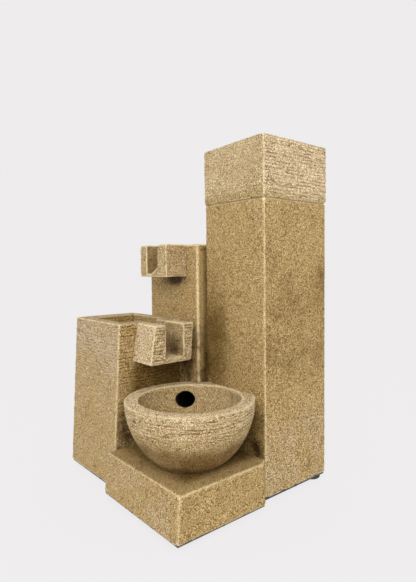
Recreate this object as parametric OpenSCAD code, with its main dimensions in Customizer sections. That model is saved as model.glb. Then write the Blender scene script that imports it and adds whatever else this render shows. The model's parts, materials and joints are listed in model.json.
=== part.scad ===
// Tabletop water fountain: a tall, a middle and a low stone column stand around a half-round bowl
// on a low base block. Water rises inside the middle column, leaves by the upper spout, fills the
// basin on the low column, runs over the lower spout into the bowl and drains back to the pump.
// Lengths are in millimetres. The plan frame used by the modules has its origin at the tall
// column's outer corner beside the base block, with z = 0 under the castings; plan() then puts
// everything in the part's frame, with the feet on z = 0 under the centre of the whole outline.

/* [Castings] */
// Wall thickness of the hollow castings
wall = 7.5; // [6:0.5:9]
// Height of the base block
base_h = 37.8; // [32:0.1:42]

/* [Tall column] */
// Width, across the bowl's side
tall_w = 90; // [80:1:100]
// Depth, from the front face to the middle column
tall_d = 82.4; // [80:0.1:90]
// Height of the column with its cap
tall_h = 331; // [300:1:360]
// Height of the rough-hewn cap
cap_h = 53; // [40:1:70]
// How far the cap stands out past the shaft
cap_bulge = 0.8; // [0:0.1:2]

/* [Middle column] */
// Width
mid_w = 88; // [84:1:96]
// Depth
mid_d = 87.2; // [84:0.1:92]
// Height
mid_h = 237; // [225:1:260]
// How far it stands out past the tall column towards the bowl
mid_out = 10.8; // [9:0.1:12]

/* [Basin column] */
// Width at its foot
low_w = 83.8; // [80:0.1:88]
// Depth
low_d = 97.1; // [92:0.1:102]
// Height
low_h = 159; // [150:1:170]
// Distance from the middle column's front face back to the basin column's front face
low_back = 29; // [27:0.5:31]
// How far the outer face leans in from foot to top
low_lean = 9.6; // [4:0.1:12]
// Depth of the basin in its top
basin_deep = 40; // [34:1:50]

/* [Bowl] */
// Outer radius of the rim
bowl_r = 59.5; // [56:0.5:61]
// Inner radius
bowl_in_r = 46.8; // [44:0.1:48]
// Height of the rim above the castings' underside
bowl_rim_z = 95.5; // [90:0.5:100]
// Radius of the drain hole
drain_r = 7.9; // [7:0.1:9]

/* [Spouts] */
// How far the upper spout reaches out
up_len = 26.2; // [20:0.1:32]
// How far the lower spout reaches out
lo_len = 33.4; // [26:0.1:38]
// Width of both water channels
channel_w = 20; // [16:0.5:22]

/* [Pump and reservoir] */
// Height of the reservoir tub
tub_h = 62; // [52:1:64]
// Outer radius of the riser tube
riser_r = 6; // [5.5:0.1:6.5]

/* [Feet] */
// Radius of a rubber foot
foot_r = 8.5; // [6:0.5:10]
// Height of a rubber foot
foot_h = 3.5; // [3:0.5:6]

/* [Hidden] */
$fn = 64;

// Colours
stone_brown = [0.69, 0.60, 0.43];
stone_pale = [0.79, 0.71, 0.57];
plastic_black = [0.08, 0.08, 0.09];
plastic_dark = [0.16, 0.16, 0.17];
rubber_grey = [0.13, 0.13, 0.13];
clear_vinyl = [0.86, 0.90, 0.88];
steel = [0.72, 0.72, 0.70];
copper = [0.72, 0.42, 0.20];
ceramic_white = [0.93, 0.93, 0.90];
foam_grey = [0.22, 0.23, 0.24];

// Plan of the castings
mid_x0 = -mid_out;
mid_x1 = mid_x0 + mid_w;
mid_y0 = tall_d;
mid_y1 = mid_y0 + mid_d;
low_x1 = mid_x0;
low_x0 = low_x1 - low_w;
low_y0 = mid_y0 + low_back;
low_y1 = low_y0 + low_d;
base_x0 = low_x0 - 10;
base_x0_top = base_x0 + 4.1;
base_y0 = -6.9;
base_y0_top = -5.2;
base_corner_x = -7;
groove_h = 3;
shaft_h = tall_h - cap_h - groove_h;
neck_in = 1.6;
spigot_h = 6;
eps = 0.01;
past = 1;

// Bowl: its outer side is an arc from the rim down to a flat foot
bowl_x = -50.5;
bowl_y = 45.5;
bowl_foot_r = 31;
side_h = bowl_rim_z - base_h;
side_in = bowl_r - bowl_foot_r;
side_r = (side_h * side_h + side_in * side_in) / (2 * side_in);

// Drain: from the bowl's back wall down into the middle column
drain_from = [-27.1, 83.3, 81];
drain_turn = 27;
drain_dip = 15;
drain_len = 31;
drain_wall = 1.4;
drain_back = 12;
drain_ahead = 4;
sleeve_in = 7;

// Basin and spouts
rim_x0 = 12;
rim_x1 = 11.1;
rim_y0 = 16;
rim_y1 = 19;
basin_floor = low_h - basin_deep;
up_y = 125.8;
up_wall_y0 = 99.5;
up_wall_y1 = 148.4;
up_z0 = mid_h - 33.5;
up_floor = up_z0 + 3.5;
up_side_rise = 6.5;
lo_y0 = low_y0 - lo_len;
lo_z0 = low_h - 38;
lo_floor = lo_z0 + 5.5;
lo_x = -42.7;
lo_top = [-65.4, -19.5];
lo_foot = [-71.2, -22.6];

// Underside
plate_t = 1.5;
plate_in = 1.5;
foot_chamfer = 1;
foot_spots = [[-84, 15], [79.5, 10], [-70, 186], [58, 146]];
screw_spots = [
    [base_x0 + 4.2, 60], [-55, base_y0 + 4.2], [low_x0 + 4.2, 160], [-50, low_y1 - 4],
    [mid_x1 - 4, 150], [30, mid_y1 - 4], [tall_w - 4, 45], [45, 4]
];
screw_r = 1.4;
screw_len = 13;
screw_head_r = 2.6;
screw_head_h = 1.3;
pilot_gap = 0.05;

// Reservoir
tub_gap = 0.8;
tub_wall = 2.2;
tub_floor = 2.4;
tub_round = 4;
tub_round_in = 2;
tub_x0 = mid_x0 + wall + tub_gap;
tub_x1 = mid_x1 - wall - tub_gap;
tub_y0 = mid_y0 + wall + tub_gap;
tub_y1 = mid_y1 - wall - tub_gap;

// Access door in the back of the middle column
door_x0 = 3;
door_w = 46;
door_z0 = 80;
door_h = 70;
sleeve_t = 2;
flange_w = 6;
flange_t = 1.5;
leaf_t = 3;
leaf_gap = 0.4;
leaf_stop = 1.5;
leaf_stop_gap = 0.2;
pull_r = 9;
pull_out = 3;
hinge_gap = 0.8;
hinge_in = 1.8;
door_out = mid_y1 + flange_t;
hinge_x = door_x0 + hinge_gap + hinge_in;
hinge_y = door_out - leaf_t / 2;
hinge_r = 1.5;
hinge_fit = 0.06;
frame_screw_x = [door_x0 - sleeve_t - flange_w / 2, door_x0 + door_w + sleeve_t + flange_w / 2];
frame_screw_z = [door_z0 + 6, door_z0 + door_h - 6];
frame_screw_r = 1.3;
frame_screw_len = 8;
frame_head_r = 2.4;
frame_head_h = 1.2;
frame_pilot_l = 7;

// Grommet for the pump's cord
grommet_x = 64;
grommet_z = door_z0;
grommet_r = 4.5;
grommet_flange_r = 6;
grommet_flange_t = 1.6;
grommet_lip_r = 5.4;
grommet_lip_t = 1.4;
grommet_bore = 3.1;

// Pump, in its own frame: origin on the tub's floor, rotor axis along x at rotor_z
pump_x = 33;
pump_y = up_y;
rotor_z = 21;
cup_h = 5;
cup_r = 5.5;
cup_neck_r = 2.4;
cup_skirt_h = 3;
cup_stem_r = 2;
cup_hollow = [4.4, 1, 2];
cup_spots = [[5, -10], [5, 10], [23, -10], [23, 10]];
motor_l = 28;
motor_w = 32;
motor_h = 32;
skin = 1.8;
can_in_r = 6.6;
can_out_r = 8;
can_l = 24;
volute_l = 11;
volute_r = 13;
volute_in_r = 10.6;
volute_back = 1;
cover_t = 2;
cover_eye_r = 8;
cover_ring = 1.4;
spoke_at = 3.6;
spoke_l = 5;
spoke_w = 1.6;
outlet_x = -6;
boss_top = 38;
boss_r = 7;
nozzle_r = 4.5;
nozzle_seat_r = 5;
nozzle_seat_l = 7;
nozzle_flange_t = 2;
water_bore = 3.2;
cage_l = 14;
cage_w = 30;
cage_t = 1.6;
vent_n = 5;
vent_pitch = 5;
vent_w = 1.6;
vent_front = 4;
vent_back = 2;
foam_l = 9.5;
foam_gap = 0.2;
foam_back = 1;

// Rotor, shaft and bushes
shaft_r = 1;
shaft_fit = 0.06;
shaft_out = 1.8;
bush_r = 3;
bush_l = 1.4;
bush_in = 1.2;
magnet_gap = 0.5;
magnet_end_gap = 0.6;
hub_r = 3.2;
hub_front = -9;
hub_back = 1;
disc_r = 8.8;
disc_front = -2.8;
disc_back = -1.6;
blade_n = 5;
blade_front = -8.2;
blade_at = 2.4;
blade = [6, 6.3, 1];

// Flow dial
dial_r = 9.5;
dial_t = 1.6;
dial_gap = 0.1;
dial_hole_r = 2.2;
dial_step = 90;
dial_hole_at = 6;
spindle_r = 1.5;
spindle_fit = 0.06;
spindle_out = 0.5;
clip_r = 1.9;
clip_t = 0.6;
grip = [1.6, 5.2, 1.6];

// Stator
core_x0 = 4;
core_x1 = 18;
core_gap = 1;
core_fit = 0.1;
slot_up = 7;
coil_l = 12;
coil_at = 10.3;
coil_t = 4.2;
coil_gap = 0.2;
coil_out = 7;

// Cord gland in the motor's lid
gland_up = 9;
gland_r = 2.6;
gland_bore = 1.6;
boot_r = 4;
boot_end_r = 3;
boot_l = 4.5;

// Riser
riser_x = pump_x + outlet_x;
elbow_z = up_floor + 11.5;
elbow_bend = 12;
elbow_flange_r = 9;
elbow_flange_t = 2;
riser_top = elbow_z - elbow_bend - 8;
barb_l = 12;

// Placing: the middle of the outline goes to x = y = 0 and the feet to z = 0
plan_x = (bowl_x - bowl_r + tall_w + cap_bulge) / 2;
plan_y = (bowl_y - bowl_r + low_y1) / 2;
lift = plate_t + foot_h;

module plan() {
    translate([-plan_x, -plan_y, lift]) children();
}

module at_pump() {
    plan() translate([pump_x, pump_y, tub_floor]) children();
}

// A box from one corner to the opposite corner
module span(low, high) {
    translate(low) cube(high - low);
}

// A cylinder along x from x0 to x1 on the rotor's axis
module on_rotor(r, x0, x1) {
    translate([x0, 0, rotor_z]) rotate([0, 90, 0]) cylinder(r = r, h = x1 - x0);
}

// An outline in x and z, drawn out along y from y0 to y1
module slab_xz(outline, y0, y1) {
    translate([0, y1, 0]) rotate([90, 0, 0]) linear_extrude(y1 - y0) polygon(outline);
}

// An outline in y and z, drawn out along x from x0 to x1
module slab_yz(outline, x0, x1) {
    translate([x0, 0, 0]) rotate([90, 0, 90]) linear_extrude(x1 - x0) polygon(outline);
}

// An upright box with round corners, made of exact faces
module round_box(low, high, r) {
    size = high - low;
    translate(low) linear_extrude(size[2]) {
        translate([r, 0]) square([size[0] - 2 * r, size[1]]);
        translate([0, r]) square([size[0], size[1] - 2 * r]);
        for (x = [r, size[0] - r], y = [r, size[1] - r]) translate([x, y]) circle(r);
    }
}

// Pilot holes for the bottom plate's screws
module pilots() {
    for (spot = screw_spots) {
        translate([spot[0], spot[1], -past]) cylinder(r = screw_r + pilot_gap, h = screw_len + past);
    }
}

module drain_axis() {
    translate(drain_from) rotate([0, 0, drain_turn]) rotate([0, 90 + drain_dip, 0]) children();
}

module drain_bore(r) {
    drain_axis() translate([0, 0, -drain_back])
        cylinder(r = r, h = drain_back + drain_len + drain_ahead);
}

// ---- Stone castings ----

module base_outer() {
    intersection() {
        slab_xz([[base_x0, 0], [past, 0], [past, base_h], [base_x0_top, base_h]], base_y0, low_y0);
        slab_yz([[base_y0, 0], [low_y0, 0], [low_y0, base_h], [base_y0_top, base_h]], base_x0, 0);
        linear_extrude(base_h) polygon([
            [base_x0, base_y0], [base_corner_x, base_y0], [0, 0], [0, tall_d],
            [mid_x0, tall_d], [mid_x0, low_y0], [base_x0, low_y0]
        ]);
    }
}

module base_block() {
    color(stone_brown) plan() difference() {
        base_outer();
        span([base_x0 + wall, base_y0 + wall, -past], [-past - wall, tall_d - wall, base_h - wall]);
        span([base_x0 + wall, tall_d - wall - past, -past],
            [mid_x0 - wall, low_y0 - wall, base_h - wall]);
        pilots();
    }
}

module bowl() {
    color(stone_pale) plan() difference() {
        translate([bowl_x, bowl_y, 0]) rotate_extrude($fn = 128) intersection() {
            translate([bowl_r - side_r, bowl_rim_z]) circle(side_r, $fn = 128);
            translate([0, base_h]) square([bowl_r + past, side_h]);
        }
        translate([bowl_x, bowl_y, bowl_rim_z]) sphere(bowl_in_r, $fn = 128);
        span([0, -bowl_r, 0], [bowl_r, 3 * bowl_r, 2 * bowl_rim_z]);
        span([mid_x0, tall_d, 0], [bowl_r, 3 * bowl_r, 2 * bowl_rim_z]);
        drain_bore(drain_r);
    }
}

module tall_column() {
    color(stone_brown) plan() difference() {
        span([0, 0, 0], [tall_w, tall_d, shaft_h]);
        span([wall, wall, -past], [tall_w - wall, tall_d - wall, shaft_h + past]);
        pilots();
    }
}

module column_cap() {
    inner = wall + 0.3;
    color(stone_pale) plan() difference() {
        union() {
            span([-cap_bulge, -cap_bulge, shaft_h + groove_h],
                [tall_w + cap_bulge, tall_d + cap_bulge, tall_h]);
            span([neck_in, neck_in, shaft_h], [tall_w - neck_in, tall_d - neck_in, tall_h - wall]);
            span([inner, inner, shaft_h - spigot_h], [tall_w - inner, tall_d - inner, tall_h - wall]);
        }
        span([inner + 6, inner + 6, shaft_h - spigot_h - past],
            [tall_w - inner - 6, tall_d - inner - 6, tall_h - wall]);
    }
}

module middle_column() {
    frame_x0 = door_x0 - sleeve_t;
    frame_x1 = door_x0 + door_w + sleeve_t;
    frame_z0 = door_z0 - sleeve_t;
    frame_z1 = door_z0 + door_h + sleeve_t;
    color(stone_brown) plan() difference() {
        span([mid_x0, mid_y0, 0], [mid_x1, mid_y1, mid_h]);
        span([mid_x0 + wall, mid_y0 + wall, -past], [mid_x1 - wall, mid_y1 - wall, mid_h - wall]);
        span([frame_x0, mid_y1 - wall - past, frame_z0], [frame_x1, mid_y1 + past, frame_z1]);
        for (x = frame_screw_x, z = frame_screw_z) {
            translate([x, mid_y1 + past, z]) rotate([90, 0, 0])
                cylinder(r = frame_screw_r + pilot_gap, h = frame_pilot_l);
        }
        translate([mid_x0 - past, up_y, elbow_z]) rotate([0, 90, 0])
            cylinder(r = riser_r, h = wall + 2 * past);
        translate([grommet_x, mid_y1 + past, grommet_z]) rotate([90, 0, 0])
            cylinder(r = grommet_r, h = wall + 2 * past);
        drain_bore(drain_r);
        pilots();
    }
}

module upper_spout() {
    half = channel_w / 2;
    color(stone_pale) plan() slab_yz([
        [up_wall_y0, up_z0], [up_wall_y1, up_z0], [up_wall_y1, mid_h], [up_y + half, mid_h],
        [up_y + half, up_floor], [up_y + 2, up_floor], [up_y - half, up_floor + up_side_rise],
        [up_y - half, mid_h], [up_wall_y0, mid_h]
    ], mid_x0 - up_len, mid_x0);
}

module basin_column() {
    color(stone_brown) plan() difference() {
        slab_xz([[low_x0, 0], [low_x1, 0], [low_x1, low_h], [low_x0 + low_lean, low_h]],
            low_y0, low_y1);
        slab_xz([
            [low_x0 + wall, -past], [low_x1 - wall, -past], [low_x1 - wall, basin_floor - wall],
            [low_x0 + low_lean + wall, basin_floor - wall]
        ], low_y0 + wall, low_y1 - wall);
        span([low_x0 + low_lean + rim_x0, low_y0 + rim_y0, basin_floor],
            [low_x1 - rim_x1, low_y1 - rim_y1, low_h + past]);
        span([lo_x - channel_w / 2, low_y0 - past, lo_floor],
            [lo_x + channel_w / 2, low_y0 + rim_y0 + past, low_h + past]);
        pilots();
    }
}

module lower_spout() {
    half = channel_w / 2;
    color(stone_pale) plan() slab_xz([
        [lo_foot[0], lo_z0], [lo_foot[1], lo_z0], [lo_top[1], low_h], [lo_x + half, low_h],
        [lo_x + half, lo_floor], [lo_x - half, lo_floor], [lo_x - half, low_h], [lo_top[0], low_h]
    ], lo_y0, low_y0);
}

// ---- Underside ----

module bottom_plate() {
    in = plate_in;
    color(plastic_dark) plan() translate([0, 0, -plate_t]) difference() {
        linear_extrude(plate_t) {
            polygon([
                [base_x0 + in, base_y0 + in], [base_corner_x, base_y0 + in], [in, in],
                [tall_w - in, in], [tall_w - in, tall_d], [mid_x1 - in, tall_d],
                [mid_x1 - in, mid_y1 - in], [low_x1 - in, mid_y1 - in], [low_x1 - in, low_y1 - in],
                [low_x0 + in, low_y1 - in], [low_x0 + in, low_y0], [base_x0 + in, low_y0]
            ]);
        }
        for (spot = screw_spots) {
            translate([spot[0], spot[1], -past])
                cylinder(r = screw_r + 0.2, h = plate_t + 2 * past);
        }
    }
}

module plate_screws() {
    color(steel) plan() for (spot = screw_spots) {
        translate([spot[0], spot[1], -plate_t - screw_head_h]) {
            cylinder(r = screw_head_r, h = screw_head_h);
            cylinder(r = screw_r, h = screw_head_h + screw_len);
        }
    }
}

module foot(spot) {
    color(rubber_grey) plan() translate([spot[0], spot[1], -plate_t - foot_h]) {
        cylinder(r1 = foot_r - foot_chamfer, r2 = foot_r, h = foot_chamfer);
        translate([0, 0, foot_chamfer]) cylinder(r = foot_r, h = foot_h - foot_chamfer);
    }
}

module foot_front_left() {
    foot(foot_spots[0]);
}

module foot_front_right() {
    foot(foot_spots[1]);
}

module foot_back_left() {
    foot(foot_spots[2]);
}

module foot_back_right() {
    foot(foot_spots[3]);
}

// ---- Reservoir, access door and grommet ----

module reservoir_tub() {
    color(plastic_black) plan() difference() {
        round_box([tub_x0, tub_y0, 0], [tub_x1, tub_y1, tub_h], tub_round);
        round_box([tub_x0 + tub_wall, tub_y0 + tub_wall, tub_floor],
            [tub_x1 - tub_wall, tub_y1 - tub_wall, tub_h + past], tub_round_in);
    }
}

module door_frame() {
    outer_x0 = door_x0 - sleeve_t;
    outer_x1 = door_x0 + door_w + sleeve_t;
    outer_z0 = door_z0 - sleeve_t;
    outer_z1 = door_z0 + door_h + sleeve_t;
    color(plastic_dark) plan() difference() {
        union() {
            span([outer_x0, mid_y1 - wall, outer_z0], [outer_x1, door_out, outer_z1]);
            span([outer_x0 - flange_w, mid_y1, outer_z0 - flange_w],
                [outer_x1 + flange_w, door_out, outer_z1 + flange_w]);
        }
        difference() {
            span([door_x0, mid_y1 - wall - past, door_z0],
                [door_x0 + door_w, door_out + past, door_z0 + door_h]);
            span([door_x0 + door_w - leaf_stop, mid_y1 - wall, door_z0],
                [door_x0 + door_w, door_out - leaf_t - leaf_stop_gap, door_z0 + door_h]);
        }
        translate([hinge_x, hinge_y, outer_z0 - past])
            cylinder(r = hinge_r + hinge_fit, h = door_h + 2 * sleeve_t + 2 * past);
        for (x = frame_screw_x, z = frame_screw_z) {
            translate([x, door_out + past, z]) rotate([90, 0, 0])
                cylinder(r = frame_screw_r + 0.2, h = flange_t + 2 * past);
        }
    }
}

module frame_screws() {
    color(steel) plan() for (x = frame_screw_x, z = frame_screw_z) {
        translate([x, door_out + frame_head_h, z]) rotate([90, 0, 0]) {
            cylinder(r = frame_head_r, h = frame_head_h);
            cylinder(r = frame_screw_r, h = frame_screw_len);
        }
    }
}

module access_door() {
    leaf_x0 = door_x0 + hinge_gap;
    leaf_x1 = door_x0 + door_w - leaf_gap;
    leaf_z0 = door_z0 + leaf_gap;
    leaf_z1 = door_z0 + door_h - leaf_gap;
    pin_l = leaf_gap + sleeve_t;
    color(plastic_black) plan() {
        difference() {
            span([leaf_x0, door_out - leaf_t, leaf_z0], [leaf_x1, door_out, leaf_z1]);
            translate([leaf_x1 + pull_out, door_out + past, door_z0 + door_h / 2])
                rotate([90, 0, 0]) cylinder(r = pull_r, h = leaf_t + 2 * past);
        }
        translate([hinge_x, hinge_y, leaf_z0 - pin_l]) cylinder(r = hinge_r, h = pin_l + eps);
        translate([hinge_x, hinge_y, leaf_z1 - eps]) cylinder(r = hinge_r, h = pin_l + eps);
    }
}

module wall_grommet() {
    flange_t = grommet_flange_t;
    color(rubber_grey) plan() translate([grommet_x, mid_y1, grommet_z]) rotate([90, 0, 0]) {
        difference() {
            union() {
                translate([0, 0, -flange_t]) cylinder(r = grommet_flange_r, h = flange_t);
                cylinder(r = grommet_r, h = wall);
                translate([0, 0, wall]) cylinder(r = grommet_lip_r, h = grommet_lip_t);
            }
            translate([0, 0, -flange_t - past])
                cylinder(r = grommet_bore, h = flange_t + wall + grommet_lip_t + 2 * past);
        }
    }
}

// ---- Water path ----

module drain_sleeve() {
    color(plastic_dark) plan() drain_axis() translate([0, 0, sleeve_in]) difference() {
        cylinder(r = drain_r - pilot_gap, h = drain_len - sleeve_in);
        translate([0, 0, -past]) cylinder(r = drain_r - drain_wall, h = drain_len);
    }
}

module riser_tube() {
    low = tub_floor + boss_top + nozzle_flange_t;
    color(clear_vinyl) plan() translate([riser_x, pump_y, low]) difference() {
        cylinder(r = riser_r, h = riser_top - low);
        translate([0, 0, -past]) cylinder(r = nozzle_r, h = riser_top - low + 2 * past);
    }
}

module elbow_solid(r, upper_r, lower) {
    reach = riser_x - elbow_bend - mid_x0;
    translate([mid_x0, up_y, elbow_z]) rotate([0, 90, 0]) cylinder(r = upper_r, h = reach);
    translate([riser_x - elbow_bend, up_y, elbow_z - elbow_bend]) rotate([90, 0, 0])
        rotate_extrude(angle = 90) translate([elbow_bend, 0]) circle(r);
    translate([riser_x, up_y, lower]) cylinder(r = r, h = elbow_z - elbow_bend - lower);
}

module outlet_elbow() {
    bore = water_bore;
    color(plastic_black) plan() difference() {
        union() {
            elbow_solid(riser_r, riser_r, riser_top);
            translate([riser_x, up_y, riser_top - barb_l]) cylinder(r = nozzle_r, h = barb_l);
            translate([mid_x0 + wall, up_y, elbow_z]) rotate([0, 90, 0])
                cylinder(r = elbow_flange_r, h = elbow_flange_t);
        }
        elbow_solid(bore, bore, riser_top - barb_l - past);
        translate([mid_x0 - past, up_y, elbow_z]) rotate([0, 90, 0])
            cylinder(r = bore, h = 3 * past);
    }
}

module outlet_nozzle() {
    seat = boss_top - nozzle_seat_l;
    top = boss_top + nozzle_flange_t;
    color(plastic_dark) at_pump() translate([outlet_x, 0, 0]) difference() {
        union() {
            translate([0, 0, seat]) cylinder(r = nozzle_seat_r, h = nozzle_seat_l);
            translate([0, 0, boss_top]) cylinder(r = boss_r, h = nozzle_flange_t);
            translate([0, 0, top]) cylinder(r = nozzle_r, h = barb_l);
        }
        translate([0, 0, seat - past]) cylinder(r = water_bore, h = top + barb_l - seat + 2 * past);
    }
}

// ---- Pump ----

module pump_body() {
    half = motor_w / 2;
    z0 = cup_h;
    z1 = cup_h + motor_h;
    color(plastic_black) at_pump() difference() {
        union() {
            difference() {
                span([0, -half, z0], [motor_l, half, z1]);
                span([skin, skin - half, z0 + skin], [motor_l + past, half - skin, z1 - skin]);
            }
            on_rotor(can_out_r, 0, can_l + skin);
            on_rotor(volute_r, -volute_l, 0);
            translate([outlet_x, 0, rotor_z]) cylinder(r = boss_r, h = boss_top - rotor_z);
        }
        on_rotor(can_in_r, -volute_l - past, can_l);
        on_rotor(volute_in_r, -volute_l - past, -volute_back);
        on_rotor(volute_r + past, -volute_l - cover_t - past, -volute_l);
        translate([outlet_x, 0, rotor_z]) cylinder(r = nozzle_seat_r, h = boss_top);
    }
}

module motor_lid() {
    half = motor_w / 2 - skin;
    color(plastic_dark) at_pump() difference() {
        span([motor_l - skin, -half, cup_h + skin], [motor_l, half, cup_h + motor_h - skin]);
        translate([motor_l - skin - past, 0, rotor_z + gland_up]) rotate([0, 90, 0])
            cylinder(r = gland_r, h = skin + 2 * past);
    }
}

module stator_core() {
    half = motor_w / 2 - skin - core_gap;
    z0 = cup_h + skin + core_gap;
    z1 = cup_h + motor_h - skin - core_gap;
    color(steel) at_pump() difference() {
        span([core_x0, -half, z0], [core_x1, half, z1]);
        on_rotor(can_out_r + core_fit, 0, motor_l);
        for (side = [-1, 1]) {
            near = side * coil_at - coil_t / 2;
            span([core_x0 - past, near, rotor_z - slot_up],
                [core_x1 + past, near + coil_t, rotor_z + slot_up]);
        }
    }
}

module stator_coil() {
    color(copper) at_pump() for (side = [-1, 1]) {
        near = side * coil_at - coil_t / 2;
        span([core_x1 + coil_gap, near, rotor_z - coil_l],
            [core_x1 + coil_out, near + coil_t, rotor_z + coil_l]);
    }
}

module impeller() {
    color(ceramic_white) at_pump() difference() {
        union() {
            on_rotor(can_in_r - magnet_gap, magnet_gap, can_l - bush_l - magnet_end_gap);
            on_rotor(hub_r, hub_front, hub_back);
            on_rotor(disc_r, disc_front, disc_back);
            for (i = [0 : blade_n - 1]) {
                translate([0, 0, rotor_z]) rotate([i * 360 / blade_n, 0, 0])
                    translate([blade_front, blade_at, -blade[2] / 2]) cube(blade);
            }
        }
        on_rotor(shaft_r + shaft_fit, hub_front - past, can_l);
    }
}

module rotor_shaft() {
    color(ceramic_white) at_pump() on_rotor(shaft_r, -volute_l - shaft_out, can_l);
}

module front_bush() {
    color(rubber_grey) at_pump() difference() {
        on_rotor(bush_r, -volute_l - cover_t, -volute_l + bush_in);
        on_rotor(shaft_r, -volute_l - cover_t - past, -volute_l + bush_in + past);
    }
}

module rear_bush() {
    color(rubber_grey) at_pump() difference() {
        on_rotor(can_in_r, can_l - bush_l, can_l);
        on_rotor(shaft_r, can_l - bush_l - past, can_l + past);
    }
}

module volute_cover() {
    x0 = -volute_l - cover_t;
    color(plastic_dark) at_pump() difference() {
        union() {
            difference() {
                on_rotor(volute_r, x0, -volute_l);
                on_rotor(cover_eye_r, x0 - past, -volute_l + past);
            }
            on_rotor(bush_r + cover_ring, x0, -volute_l);
            for (turn = [0, 120, 240]) {
                translate([0, 0, rotor_z]) rotate([turn, 0, 0])
                    translate([x0, spoke_at, -spoke_w / 2]) cube([cover_t, spoke_l, spoke_w]);
            }
        }
        on_rotor(bush_r, x0 - past, -volute_l + past);
    }
}

module intake_cage() {
    x1 = -volute_l - cover_t;
    x0 = x1 - cage_l;
    half = cage_w / 2;
    z0 = cup_h + 1;
    z1 = z0 + cage_w;
    color(plastic_black) at_pump() difference() {
        span([x0, -half, z0], [x1, half, z1]);
        span([x0 + cage_t, cage_t - half, z0 + cage_t], [x1 + past, half - cage_t, z1 - cage_t]);
        for (turn = [0 : dial_step : 270]) {
            translate([x0 - past, 0, rotor_z]) rotate([turn, 0, 0]) translate([0, dial_hole_at, 0])
                rotate([0, 90, 0]) cylinder(r = dial_hole_r, h = cage_t + 2 * past);
        }
        on_rotor(spindle_r + spindle_fit, x0 - past, x0 + cage_t + past);
        for (i = [1 : vent_n]) {
            z = z0 + i * vent_pitch - vent_w / 2;
            span([x0 + vent_front, -half - past, z], [x1 - vent_back, half + past, z + vent_w]);
        }
    }
}

module filter_foam() {
    x0 = -volute_l - cover_t - cage_l + cage_t + foam_back;
    half = cage_w / 2 - cage_t - foam_gap;
    color(foam_grey) at_pump()
        span([x0, -half, rotor_z - half], [x0 + foam_l, half, rotor_z + half]);
}

module flow_dial() {
    cage_x0 = -volute_l - cover_t - cage_l;
    cage_in = cage_x0 + cage_t;
    front = cage_x0 - dial_gap - dial_t;
    color(plastic_dark) at_pump() {
        difference() {
            on_rotor(dial_r, front, cage_x0 - dial_gap);
            for (turn = [0 : dial_step : 270]) {
                translate([front - past, 0, rotor_z]) rotate([turn, 0, 0])
                    translate([0, dial_hole_at, 0]) rotate([0, 90, 0])
                        cylinder(r = dial_hole_r, h = dial_t + 2 * past);
            }
        }
        on_rotor(spindle_r, cage_x0 - spindle_out, cage_in + spindle_out);
        on_rotor(clip_r, cage_in + dial_gap, cage_in + dial_gap + clip_t);
        translate([front - grip[0] + dial_gap, -grip[1] / 2, rotor_z - grip[2] / 2]) cube(grip);
    }
}

module cord_gland() {
    color(rubber_grey) at_pump() translate([motor_l - skin, 0, rotor_z + gland_up])
        rotate([0, 90, 0]) difference() {
            union() {
                cylinder(r = gland_r, h = skin);
                translate([0, 0, skin]) cylinder(r1 = boot_r, r2 = boot_end_r, h = boot_l);
            }
            translate([0, 0, skin]) cylinder(r = gland_bore, h = boot_l + past);
        }
}

module suction_cup(spot) {
    color(rubber_grey) at_pump() translate([spot[0], spot[1], 0]) difference() {
        union() {
            cylinder(r1 = cup_r, r2 = cup_neck_r, h = cup_skirt_h);
            cylinder(r = cup_stem_r, h = cup_h);
        }
        translate([0, 0, -eps]) cylinder(r1 = cup_hollow[0], r2 = cup_hollow[1], h = cup_hollow[2]);
    }
}

module suction_cup_1() {
    suction_cup(cup_spots[0]);
}

module suction_cup_2() {
    suction_cup(cup_spots[1]);
}

module suction_cup_3() {
    suction_cup(cup_spots[2]);
}

module suction_cup_4() {
    suction_cup(cup_spots[3]);
}

base_block();
bowl();
tall_column();
column_cap();
middle_column();
upper_spout();
basin_column();
lower_spout();
bottom_plate();
plate_screws();
foot_front_left();
foot_front_right();
foot_back_left();
foot_back_right();
reservoir_tub();
door_frame();
frame_screws();
access_door();
wall_grommet();
drain_sleeve();
riser_tube();
outlet_elbow();
outlet_nozzle();
pump_body();
motor_lid();
stator_core();
stator_coil();
impeller();
rotor_shaft();
front_bush();
rear_bush();
volute_cover();
intake_cage();
filter_foam();
flow_dial();
cord_gland();
suction_cup_1();
suction_cup_2();
suction_cup_3();
suction_cup_4();
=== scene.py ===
import math

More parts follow.
